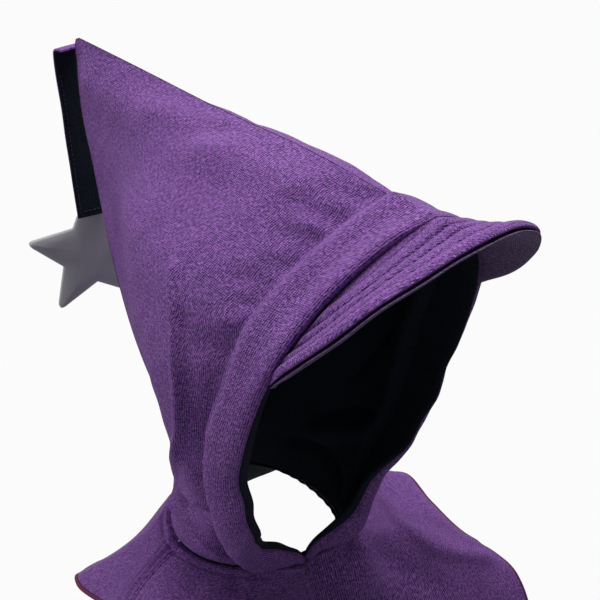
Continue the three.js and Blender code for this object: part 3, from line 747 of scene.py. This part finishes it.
def buildHoodPanel(name, node, side, shared):
    grid = shared.copy()
    grid[..., 0] *= side

    def keep(points):
        points = points.copy()
        # past the gap the distance from the middle fades away, so both faces of the cloth stay apart
        away, gap = side * points[..., 0], hood["centreGap"]
        points[..., 0] = side * np.where(away < gap, gap * np.exp(np.minimum(away, gap) - gap), away)
        return settle(aboveNeck(points))

    fromFront, fromRidge = lengthAlong(grid), lengthAlong(grid.transpose(1, 0, 2)).T
    fromBack, fromNeck = fromFront[-1] - fromFront, fromRidge[:, -1:] - fromRidge
    dip = -sum(depth * near(d, hood["seamWidth"]) * fade for depth, d, fade in (
        (hood["seamDip"], fromFront, 1), (hood["seamDip"], fromNeck, 1),
        (hood["seamDip"], fromBack, smooth(fromRidge, *hood["seamFrom"])),
        (hood["ridgeDip"], fromRidge, smooth(fromBack, *hood["seamFrom"]))))
    normals = gridNormals(grid) * -side
    slope = np.maximum(side * normals[..., 0], hood["leastSlope"])
    room = (side * grid[..., 0] - 2 * hood["centreGap"]) / slope
    thickness = np.clip(room, hood["thinnest"], hood["thickness"])
    relief = foldRelief(grid, hoodFolds)
    relief += sum(height * unevenness(grid, size, seed + side) for height, size, seed in hood["unevenness"])
    relief *= (smooth(np.minimum(fromFront, fromNeck), *hood["foldsFrom"])
               * smooth(np.minimum(fromBack, fromRidge), *hood["foldsFromRidge"]))
    # puckers along the band's seam and the neck's
    drift = unevenness(grid, *hood["puckerDrift"])
    waves = np.sin(2 * math.pi * fromRidge / hood["puckerPitch"] + drift)
    relief += (hood["pucker"] * waves * np.exp(-fromFront / hood["puckerReach"])
               * smooth(fromRidge, *hood["puckerFrom"]))
    waves = np.sin(2 * math.pi * fromFront / hood["neckPitch"])
    relief += (hood["pucker"] * waves * np.exp(-fromNeck / hood["neckReach"])
               * smooth(fromNeck, *hood["neckPuckerFrom"]))
    # the valley behind the band, deeper low down
    start = smooth(fromFront, 0, hood["valleyStart"])
    beside = smooth(fromRidge, *hood["valleyFrom"]) * smooth(fromNeck, *hood["valleyAbove"]) * start
    relief -= hood["valley"] * beside * near(fromFront, hood["valleyWidth"])
    low = smooth(fromRidge, *hood["lowFrom"]) * smooth(fromNeck, *hood["lowAbove"]) * start
    relief -= hood["lowValley"] * low * near(fromFront, hood["lowWidth"])
    # the full shoulder of cloth beside the ridge
    shoulder = hood["shoulder"][side] * near(fromRidge - hood["shoulderAt"], hood["shoulderWidth"])
    for distance, span in zip((fromFront, fromRidge, fromBack), hood["shoulderFrom"]):
        shoulder = shoulder * smooth(distance, *span)
    relief += shoulder
    relief += hood["tipRoom"] * near(fromRidge + fromBack, hood["tipReach"])
    piece, _, _ = clothWall(name, grid, -side, thickness, [purpleCloth, navyFleece], hood["edges"], relief,
                            dip, keep)
    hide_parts(node)
    declareSheet(piece, grid)
    return piece


sharedHood = hoodGrid()
hoodRight = buildHoodPanel("hoodRight", "hood_panel_right", -1, sharedHood)
hoodLeft = buildHoodPanel("hoodLeft", "hood_panel_left", 1, sharedHood)
print("hood panels made")

# Face band: a padded strip, folded at its front edge, with fleece inside

bandLook = {
    "sections": 440, "points": 92, "width": 26, "end": 0.022, "endSize": 0.05, "middleGap": 0.05,
    # share across and height at the opening's top, the same low down, and 1 where the fleece shows
    "profile": [
        (-0.008, -1.0, -0.02, -1.0, 0), (0.004, 0.0, -0.01, 0.6, 0), (0.04, 1.0, 0.05, 1.2, 0),
        (0.08, 1.8, 0.12, 0.4, 0), (0.12, 2.4, 0.16, 1.4, 0), (0.17, 2.9, 0.125, 4.0, 0),
        (0.24, 3.1, 0.17, 6.2, 0), (0.36, 2.8, 0.3, 7.9, 0), (0.5, 2.3, 0.48, 8.3, 0),
        (0.67, 3.0, 0.66, 7.8, 0), (0.82, 4.6, 0.82, 6.4, 0), (0.95, 5.2, 0.95, 4.2, 0),
        (1.04, 3.6, 1.01, 2.0, 0), (1.04, 0.8, 1.0, 0.4, 1), (1.03, -0.9, 1.08, -1.0, 1),
        (0.98, -2.0, 1.14, -2.6, 1), (0.85, -2.5, 1.06, -4.2, 1), (0.65, -2.6, 0.86, -4.2, 1),
        (0.38, -2.4, 0.5, -3.2, 1), (0.12, -2.3, 0.14, -2.4, 1), (0.015, -1.9, 0.015, -1.9, 1)],
    "lowFrom": 0.2, "lowTo": 0.52,
    # the front pad is lower in the middle, under the peak, and reaches its full height nearer on one side
    "middleTo": {-1: 0.08, 1: 0.3}, "middleShare": 0.5, "flatFrom": 0.8, "flatShare": 0.62,
    "padFrom": (0.5, 0.8), "padHeight": (-1, 1),  # where this holds: share across, and height
    # small waves on the pad and along its front edge: how many, how each is shifted, and where they start
    "pucker": 0.22, "puckerWaves": (7.1, 11.3, 4.3), "puckerShift": 2, "puckerSlant": 4,
    "puckerHeight": (0, 2),
    "wave": 0.7, "edgeWaves": (61, 37), "edgeShift": 1, "waveFrom": (0.35, 0.55), "edgeFrom": (0.7, 1),
}


def buildBand():
    half = bandLook["sections"] // 2
    t = np.abs(np.linspace(-1, 1, 2 * half + 1))
    side = np.sign(np.linspace(-1, 1, 2 * half + 1))
    side[half] = 1
    rear, _, across, outwards = bandFrame(t)
    profile = np.array(bandLook["profile"])
    turns = np.linspace(0, 1, bandLook["points"], endpoint=False)
    scale = [bandLook["width"], 1]
    upper, lower = (curveAt(profile[:, [k, k + 1]] * scale, turns, closed=True) for k in (0, 2))
    low = smooth(t, bandLook["lowFrom"], bandLook["lowTo"])[:, None]
    share = (upper[:, 0] * (1 - low) + lower[:, 0] * low) / bandLook["width"]
    height = upper[:, 1] * (1 - low) + lower[:, 1] * low
    middleTo = np.where(side < 0, bandLook["middleTo"][-1], bandLook["middleTo"][1])
    middle = ((1 - bandLook["middleShare"]) * (1 - smooth(t / middleTo, 0, 1)))[:, None]
    lowered = middle * smooth(share, *bandLook["padFrom"]) * smooth(height, *bandLook["padHeight"])
    height = height * (1 - lowered)
    height = height * (1 - bandLook["flatShare"] * smooth(t, bandLook["flatFrom"], 1))[:, None]
    place = (t * bandSpans)[:, None]
    first, second, third = bandLook["puckerWaves"]
    ripple = (np.sin(place * first + side[:, None]) + np.sin(place * second + bandLook["puckerShift"])
              + np.sin(place * third + bandLook["puckerSlant"] * share))
    height = height + bandLook["pucker"] * ripple * smooth(height, *bandLook["puckerHeight"]) * low
    first, second = bandLook["edgeWaves"]
    wave = (bandLook["wave"] * (np.sin(t * first) + np.sin(t * second + bandLook["edgeShift"]))
            * smooth(t, *bandLook["waveFrom"]))
    wave = (wave / np.linalg.norm(across, axis=1))[:, None]
    share = share * (1 + wave * smooth(share, *bandLook["edgeFrom"]))
    sections = rear[:, None] + across[:, None] * share[..., None] + outwards[:, None] * height[..., None]
    closing = bandLook["endSize"] + (1 - bandLook["endSize"]) * smooth(1 - t, 0, bandLook["end"])
    centres = sections.mean(axis=1, keepdims=True)
    sections = centres + (sections - centres) * np.sqrt(closing)[:, None, None]
    sections[..., 0] *= side[:, None]
    right, left = sections[:half], sections[half + 1:]
    right[..., 0] = np.minimum(right[..., 0], -bandLook["middleGap"])
    left[..., 0] = np.maximum(left[..., 0], bandLook["middleGap"])
    sections = settle(aboveNeck(sections))
    slotOf = profile[(turns * len(profile)).astype(int) % len(profile), 4]
    piece = clothTube("faceBand", sections, slotOf, [purpleCloth, navyFleece])
    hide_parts("face_band")


buildBand()
print("face band made")

# Peak: two layers with stitched channels along the rim

peakLook = {
    "steps": (260, 80), "sag": 4.0, "farSag": 2.8, "sagTurn": (0.35, 0.65), "fullSag": 25,
    "rootGap": 0.9, "rootDrop": {-1: 3.8, 1: 0.6}, "middleDrop": 1.5, "dropTo": 0.2, "rootEnd": 0.32,
    "taperFrom": 3, "taperTo": 16, "tipShare": 0.6, "gap": 0.3, "top": 2.6, "under": 1.7,
    "thinRim": 0.45, "topThin": 0.6, "edge": (0.5, 4),
    "rim": [
        (-77, -86, -76), (-80, -104, -58), (-73, -123, -38), (-58, -138, -19), (-38, -146, -9),
        (-19, -150, -3), (0, -152, -0.5), (20, -151, -2.2), (40, -146, -11), (60, -135, -26),
        (76, -120, -46), (81, -104, -64), (77, -86.5, -76)],
    "rows": [0, 10.5, 20, 27.5, 36],  # seams between the channels, measured from the rim
    "channelHeight": 2.2, "crease": 0.9, "creaseWidth": 0.8, "lip": 1.9, "lipDepth": 0.35, "lipWidth": 0.7,
    "underShare": 0.35, "underUnevenness": (0.15, 22, 4), "grainTurn": 62, "grainScale": 1.3,
    "topEdges": (0.6, 0.6, 0.1, 0.5), "underEdges": (0.6, 0.6, 0.1, 0.3),
    "stitches": {"radius": 0.24, "sink": 0.12}, "stitchMargin": 3,
}


def peakGrid():
    m, n = peakLook["steps"]
    u = np.linspace(0, 1, m)
    t = np.abs(2 * u - 1) * peakLook["rootEnd"]
    side = np.where(u < 0.5, -1.0, 1.0)
    _, front, across, outwards = bandFrame(t)
    for vectors in (front, across, outwards):
        vectors[:, 0] *= side
    drop = np.where(side < 0, peakLook["rootDrop"][-1], peakLook["rootDrop"][1])
    drop = peakLook["middleDrop"] + (drop - peakLook["middleDrop"]) * smooth(t, 0, peakLook["dropTo"])
    root = front + unit(across) * peakLook["rootGap"] - outwards * drop[:, None]
    rim = curveAt(peakLook["rim"], evenPlaces(peakLook["rim"], u))
    depth = np.linalg.norm(rim - root, axis=1)
    v = np.linspace(0, 1, n)[None, :, None]
    sag = peakLook["sag"] + (peakLook["farSag"] - peakLook["sag"]) * smooth(u, *peakLook["sagTurn"])
    sag = (sag * np.minimum(depth / peakLook["fullSag"], 1))[:, None, None]
    return root[:, None] * (1 - v) + rim[:, None] * v - outwards[:, None] * 4 * v * (1 - v) * sag, depth


def buildPeak():
    m, n = peakLook["steps"]
    grid, depth = peakGrid()
    down = lengthAlong(grid.transpose(1, 0, 2)).T
    fromRim = down[:, -1:] - down
    room = smooth(down, *peakLook["edge"])
    edges = np.array(peakLook["rows"], float)
    row = np.clip(np.searchsorted(edges, fromRim, side="right") - 1, 0, len(edges) - 2)
    across = (fromRim - edges[row]) / (edges[row + 1] - edges[row])
    channels = np.sqrt(np.clip(1 - (2 * across - 1) ** 2, 0, 1))
    fromRow = np.min(np.abs(fromRim[..., None] - edges[1:]), axis=-1)
    creases = near(fromRow, peakLook["creaseWidth"])
    relief = (peakLook["channelHeight"] * channels - peakLook["crease"] * creases) * room
    relief -= peakLook["lipDepth"] * near(fromRim - peakLook["lip"], peakLook["lipWidth"])
    taper = smooth(depth, peakLook["taperFrom"], peakLook["taperTo"])[:, None] * np.ones(n)
    taper = peakLook["tipShare"] + (1 - peakLook["tipShare"]) * taper
    thin = 1 - peakLook["thinRim"] * (1 - smooth(fromRim, *peakLook["edge"]))
    topThickness = peakLook["top"] * taper * (1 - peakLook["topThin"] + peakLook["topThin"] * thin)
    underThickness = peakLook["under"] * taper * thin
    # the top's grain runs across the peak, the underside's follows the rim
    turn = math.radians(peakLook["grainTurn"])
    grain = np.array([[math.cos(turn), -math.sin(turn)], [math.sin(turn), math.cos(turn)]])
    topPlaces = grid[..., :2] @ (grain * peakLook["grainScale"])
    rimLength = np.broadcast_to(lengthAlong(grid[:, -1])[:, None], fromRim.shape)
    underPlaces = np.stack([rimLength, fromRim], axis=-1)
    normals = gridNormals(grid)
    up = -1 if normals[m // 2, n // 2, 2] < 0 else 1
    topGrid = grid + normals * up * (peakLook["gap"] / 2 + topThickness)[..., None]
    top, topOuter, _ = clothWall("peakTop", topGrid, up, topThickness, [purpleCloth, purpleCloth],
                                 peakLook["topEdges"], relief * taper, places=topPlaces)
    underGrid = grid - normals * up * (peakLook["gap"] / 2 + underThickness)[..., None]
    height, size, seed = peakLook["underUnevenness"]
    underRelief = (height * unevenness(grid, size, seed) + peakLook["underShare"] * channels * room) * taper
    # the underside wears the purple cloth with painted shade
    under, _, _ = clothWall("peakUnderside", underGrid, -up, underThickness, [paintedShadeCloth, paintedShadeCloth],
                            peakLook["underEdges"], underRelief, places=underPlaces)
    rows = []
    topNormals = gridNormals(topOuter) * up
    for place in (peakLook["lip"], peakLook["rows"][1]):
        columns = [k for k in range(m) if fromRim[k, 0] > place + peakLook["stitchMargin"]]
        rows.append([lineAt(values, fromRim, place, columns) for values in (topOuter, topNormals)])
    stitches = stitchRows("peakStitches", rows, purpleThread, **peakLook["stitches"])
    for piece, node in ((top, "peak_top"), (under, "peak_underside")):
        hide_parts(node)


buildPeak()
print("peak made")

# Cape: two fronts and a back, from the neck seam to the hem

cape = {
    "hem": [  # angle round the neck, hem point, how far the middle bulges
        (0, (0, -80, -352), 0), (20, (52, -112, -350), 4), (34, (98, -130, -334), 9),
        (42, (112, -104, -292), 6), (50, (103, -66, -277), 3), (62, (106, -35, -271), 2),
        (74, (112, -9, -269), 4), (88, (103, 18, -275), 5), (104, (98, 45, -285), 1),
        (120, (97, 72, -290), -4), (140, (76, 98, -306), -5), (160, (41, 118, -328), -3),
        (180, (0, 122, -338), 0)],
    "rows": 90, "flangeRows": 4, "flange": 0.036, "thickness": 2.0, "edges": (0.1, 0.1, 0.1, 0.2),
    "seamAtNeck": 104, "seamAtHem": 90, "seamGap": 0.1, "neckGap": 0.1, "hemRadius": 100,
    "overlap": 9, "overlapStep": 3.1, "flatAngle": 3, "rampAngle": 14,
    "seamDip": 2.0, "seamWidth": 1.3, "seamPuff": 1.3, "puffPlace": 3.6, "puffWidth": 2.0,
    "stitchDip": 1.1, "stitchWidth": 1.0, "stitchDepth": 7.0, "stitchMargin": 3,
    "pucker": 0.2, "puckerPitch": 7, "puckerReach": 4, "unevenness": (0.6, 40, 21), "foldSteps": 12,
    # distances from the neck seam over which each effect sets in, and the same beside a shoulder seam
    "unevenFrom": (3, 25), "foldsFrom": (1, 12), "seamFrom": (0, 5), "besideSeam": (0, 6),
    "tackStitches": {"pitch": 1.3, "length": 1.25, "radius": 0.35},
    "tackColumns": (2, 4, 6), "tackRows": (4, 9),
}
# Folds of the cape: width, height, and the line's points as angle round the neck and share of the way down
capeFolds = [
    (5, 3.0, [(62, 0.5), (55, 0.5), (45, 0.45), (40.5, 0.53), (42.5, 0.83)]),
    (4.5, 1.8, [(64, 0.92), (53, 0.9), (47, 0.93)]),
    (9, 3.0, [(30, 0.1), (22.5, 0.23), (21, 0.42), (19, 0.62)]),
    (8, -2.5, [(33, 0.18), (31, 0.3), (32, 0.5)]),
    (6, -1.5, [(-46, 0.15), (-15.5, 0.08)]),
    (11, 2.2, [(-30, 0.3), (-26, 0.6), (-24, 0.9)]),
    (10, 2.0, [(-58, 0.2), (-62, 0.6), (-64, 0.92)]),
    (10, 2.0, [(80, 0.2), (76, 0.6), (74, 0.92)]),
    (10, 2.4, [(128, 0.2), (126, 0.6), (124, 0.95)]),
    (11, 2.6, [(158, 0.15), (160, 0.6), (162, 0.95)]),
    (10, 2.2, [(196, 0.2), (193, 0.6), (191, 0.95)]),
    (11, 2.5, [(228, 0.15), (231, 0.6), (234, 0.95)]),
]
# the whole hem, with the other half mirrored
hemRows = cape["hem"] + [(360 - a, (-x, y, z), b) for a, (x, y, z), b in reversed(cape["hem"][1:-1])]
hemAngles = np.array([row[0] for row in hemRows] + [360], float)
hemPoints = np.array([row[1] for row in hemRows], float)
hemBulges = np.array([[row[2], 0, 0] for row in hemRows], float)


def capeSurface(angle, down):
    turn = angle % 360
    place = np.interp(turn, hemAngles, np.arange(len(hemAngles))) / len(hemRows)
    shape = angle.shape
    hem = curveAt(hemPoints, place.ravel(), closed=True).reshape(*shape, 3)
    bulge = curveAt(hemBulges, place.ravel(), closed=True).reshape(*shape, 3)[..., 0]
    top = neckPoint(angle)
    top[..., 2] -= cape["neckGap"]
    a = np.radians(angle)
    out = unit(np.stack([np.sin(a), -np.cos(a), np.ones(shape)], axis=-1))
    return (top + (hem - top) * down[..., None]) + out * (4 * down * (1 - down) * bulge)[..., None]


# The angle and the share of the way down of each point. The first rows are the flange above the neck seam.
def capeAngles(start, end, m):
    flange, n = cape["flangeRows"], cape["rows"]
    v = np.concatenate([np.linspace(-cape["flange"], 0, flange + 1)[:-1], np.linspace(0, 1, n - flange)])
    u = np.linspace(0, 1, m)[:, None]
    return start(v) + (end(v) - start(v)) * u, np.broadcast_to(v, (m, n))


def seamAngle(v):
    return cape["seamAtNeck"] + (cape["seamAtHem"] - cape["seamAtNeck"]) * v


def degreesFor(width, v):
    return np.degrees(width / (neck["radius"] + (cape["hemRadius"] - neck["radius"]) * v))


def foldsOfCape(grid, angle):
    low, high = angle.min(), angle.max()
    relief = np.zeros(angle.shape)
    for width, height, points in capeFolds:
        line = np.array([((a - low) % 360 + low, v) for a, v in points])
        if line[:, 0].max() > high:
            continue
        line = curveAt(line, np.linspace(0, 1, cape["foldSteps"]))
        relief += height * near(distanceToLine(grid, capeSurface(line[:, 0], line[:, 1])), width)
    return relief


def buildCape():
    def gap(v):
        return degreesFor(cape["seamGap"], v)

    parts = [  # name, node, columns of the grid, and the first and last angle round the neck
        ("capeFrontLeft", "cape_front_left", 200,
         lambda v: -degreesFor(cape["overlap"], v), lambda v: seamAngle(v) - gap(v)),
        ("capeBack", "cape_back", 260,
         lambda v: seamAngle(v) + gap(v), lambda v: 360 - seamAngle(v) - gap(v)),
        ("capeFrontRight", "cape_front_right", 200,
         lambda v: 360 - seamAngle(v) + gap(v), lambda v: 360 - gap(v)),
    ]
    neckRow = cape["flangeRows"]
    edges, stitchLines, sheets = [], [], []
    for name, node, m, start, end in parts:
        angle, down = capeAngles(start, end, m)
        grid = capeSurface(angle, down)
        middle = m // 2, cape["rows"] // 4
        outward = 1 if gridNormals(grid)[(*middle, 2)] > 0 else -1
        if node == "cape_front_left":
            sunk = cape["overlapStep"] * (1 - smooth(angle, cape["flatAngle"], cape["rampAngle"]))
            grid = grid - gridNormals(grid) * outward * sunk[..., None]
        along = lengthAlong(grid)
        fromTop = lengthAlong(grid.transpose(1, 0, 2)).T
        fromTop = fromTop - fromTop[:, neckRow:neckRow + 1]
        fromSeam = np.minimum(along, along[-1] - along)
        # each seam dips, the cloth beside it puffs up, and the stitches draw it down again
        dip = sum(share * (cape["seamPuff"] * near(d - cape["puffPlace"], cape["puffWidth"])
                           - cape["seamDip"] * near(d, cape["seamWidth"])
                           - cape["stitchDip"] * near(d - cape["stitchDepth"], cape["stitchWidth"]))
                  for d, share in ((fromTop, 1), (fromSeam, smooth(fromTop, *cape["seamFrom"]))))
        height, size, seed = cape["unevenness"]
        relief = height * unevenness(grid, size, seed) * smooth(fromTop, *cape["unevenFrom"])
        relief += foldsOfCape(grid, angle) * smooth(fromTop, *cape["foldsFrom"])
        relief *= smooth(fromSeam, *cape["besideSeam"])
        waves = np.sin(2 * math.pi * along / cape["puckerPitch"])
        relief += cape["pucker"] * waves * np.exp(-np.abs(fromTop) / cape["puckerReach"])
        piece, outer, inner = clothWall(name, grid, outward, cape["thickness"], [purpleCloth, navyFleece],
                                        cape["edges"], relief, dip, lambda p: settle(belowNeck(p)),
                                        linedRows=neckRow - 1)
        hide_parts(node)
        sheets.append((piece, grid))
        edges.append((outer[:, -2:], inner[:, -1]))
        normals = gridNormals(outer) * outward
        columns = range(cape["stitchMargin"], m - cape["stitchMargin"])
        stitchLines.append([lineAt(values, fromTop, cape["stitchDepth"], columns)
                            for values in (outer, normals)])
        if node == "cape_back":
            seamRow = cape["rows"] // 3
            for distance in (along[:, seamRow], along[-1, seamRow] - along[:, seamRow]):
                k = np.argmin(np.abs(distance - cape["stitchDepth"]))
                stitchLines.append((outer[k, neckRow:], normals[k, neckRow:]))
        if node == "cape_front_right":
            span = slice(*cape["tackRows"])
            tackRows = [(outer[m - k, span], normals[m - k, span]) for k in cape["tackColumns"]]
    tack = stitchRows("throatTack", tackRows, redThread, **cape["tackStitches"])
    stitches = stitchRows("capeStitches", stitchLines, purpleThread)
    for (piece, grid), extras in zip(sheets, ((), (stitches,), (tack,))):
        declareSheet(piece, grid, extras)
    return edges


capeEdges = buildCape()
print("cape made")

# Hem edging: a narrow bound edge round the cape

edging = {"width": 2.6, "height": 2.6, "sides": 12, "clear": 0.2}


def buildEdging():
    sections = []
    for outer, inner in capeEdges:
        above, edge = outer[:, 0], outer[:, 1]
        outwards = unit(edge - inner)
        toHem = edge - above
        toHem = unit(toHem - outwards * np.sum(toHem * outwards, axis=-1, keepdims=True))
        centre = (edge + inner) / 2 + toHem * (edging["clear"] + edging["width"] / 2)
        turns = np.arange(edging["sides"]) * 2 * math.pi / edging["sides"]
        for c, o, h in zip(centre, outwards, toHem):
            sections.append([c + h * math.cos(a) * edging["width"] / 2
                             + o * math.sin(a) * edging["height"] / 2 for a in turns])
    piece = clothTube("hemEdging", np.array(sections), np.zeros(edging["sides"]), [maroonEdging])
    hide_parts("hem_edging")


buildEdging()
print("hem edging made")

# Strap on the tail's tip

strap = {
    "width": 18, "thickness": 2.2, "steps": (30, 160), "endTurn": -12, "turnFrom": 0.4,
    "path": [(0, 175.9, 9), (0, 181, 8.5), (0, 184.6, 7), (0, 185.2, 1), (0, 182, -30), (0, 177.5, -68),
             (0, 173, -102)],
    "edges": (0.5, 0.5, 0.2, 0.3), "unevenness": (0.25, 30, 8),
    "stitchIn": 3, "stitchTop": 30, "stitchEnd": 6,  # grid steps from the sides, the top and the lower end
}


def buildStrap():
    m, n = strap["steps"]
    t = np.linspace(0, 1, n)
    path = curveAt(strap["path"], evenPlaces(strap["path"], t))
    turn = np.radians(strap["endTurn"] * smooth(t, strap["turnFrom"], 1))
    widthways = np.stack([np.cos(turn), np.sin(turn), np.zeros(n)], axis=-1)
    outwards = unit(np.cross(widthways, np.gradient(path, axis=0)))
    outwards = outwards * np.sign(outwards[n // 2, 1])
    x = np.linspace(-0.5, 0.5, m)[:, None, None] * strap["width"]
    grid = path[None] + widthways[None] * x + outwards[None] * strap["thickness"] / 2
    outward = 1 if np.sum(gridNormals(grid)[m // 2, n // 2] * outwards[n // 2]) > 0 else -1
    height, size, seed = strap["unevenness"]
    piece, _, inner = clothWall("tailStrap", grid, outward, strap["thickness"], [purpleCloth, navyFleece],
                                strap["edges"], height * unevenness(grid, size, seed))
    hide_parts("tail_strap")
    normals = -gridNormals(inner) * outward
    side, top, end = strap["stitchIn"], strap["stitchTop"], strap["stitchEnd"]
    lines = ((slice(side, -side), n - end), (side, slice(top, None)), (-side - 1, slice(top, None)))
    stitches = stitchRows("strapStitches", [(inner[line], normals[line]) for line in lines], navyThread)
    declareSheet(piece, grid, (stitches,))


buildStrap()
print("strap made")

# Padded star at the strap's end

star = {
    "centre": (3, 177.8, -130.5), "tipRadius": 48.6, "notchRadius": 23, "tipCut": 0.22, "turn": -0.5,
    "facing": -16, "half": 4.0, "rim": 1.1, "swell": 6.0, "fullness": 1.6, "innermost": 0.02,
    "rings": 34, "perEdge": 12, "unevenness": (0.25, 16, 12), "smoothEdge": (0.5, 5),
}


# The star's outline from five tips, each rounded between two straight edges
def starOutline():
    points = []
    top, step = math.radians(90 + star["turn"]), math.pi / 5
    shares = np.linspace(0, 1, star["perEdge"], endpoint=False)
    for k in range(5):
        before, tip, after = (
            np.array([math.cos(top + (2 * k + d) * step), math.sin(top + (2 * k + d) * step)]) * radius
            for d, radius in ((-1, star["notchRadius"]), (0, star["tipRadius"]), (1, star["notchRadius"])))
        start, end = tip + (before - tip) * star["tipCut"], tip + (after - tip) * star["tipCut"]
        points += [before + (start - before) * s for s in shares]
        points += [start * (1 - s) ** 2 + tip * 2 * s * (1 - s) + end * s ** 2 for s in shares]
        points += [end + (after - end) * s for s in shares]
    return np.array(points)


def buildStar():
    outline = starOutline()
    count, rings = len(outline), star["rings"]
    flat = outline[None] * np.linspace(1, star["innermost"], rings)[:, None, None]
    fromEdge = distanceToLine(flat, np.concatenate([outline, outline[:1]]))
    swell = 1 - np.exp(-fromEdge / star["swell"] * star["fullness"])
    depth = star["rim"] + (star["half"] - star["rim"]) * swell
    points = np.concatenate([
        np.stack([flat[..., 0], -face * depth, flat[..., 1]], axis=-1) for face in (1, -1)])
    height, size, seed = star["unevenness"]
    wave = height * unevenness(points * [1, 0, 1], size, seed)
    edge = smooth(np.concatenate([fromEdge, fromEdge]), *star["smoothEdge"])
    points[..., 1] += np.sign(points[..., 1]) * wave * edge
    index = np.arange(2 * rings * count).reshape(2 * rings, count)
    nextOne = np.roll(index, -1, axis=1)
    faces = []
    for k in range(count):
        for face in (0, 1):
            for r in range(face * rings, face * rings + rings - 1):
                quad = (index[r, k], nextOne[r, k], nextOne[r + 1, k], index[r + 1, k])
                faces.append(quad if face == 0 else quad[::-1])
        faces.append((index[0, k], index[rings, k], nextOne[rings, k], nextOne[0, k]))
    faces += [tuple(index[rings - 1]), tuple(reversed(index[2 * rings - 1]))]
    turn = np.array(Matrix.Rotation(math.radians(star["facing"]), 3, "Z"))
    points = points.reshape(-1, 3)
    vertices = points @ turn.T + np.array(star["centre"])
    piece = makeMesh("tailStar", vertices, faces, np.zeros(len(faces)), [starCloth], points[:, [0, 2]])
    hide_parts("tail_star")


buildStar()
print("star made")
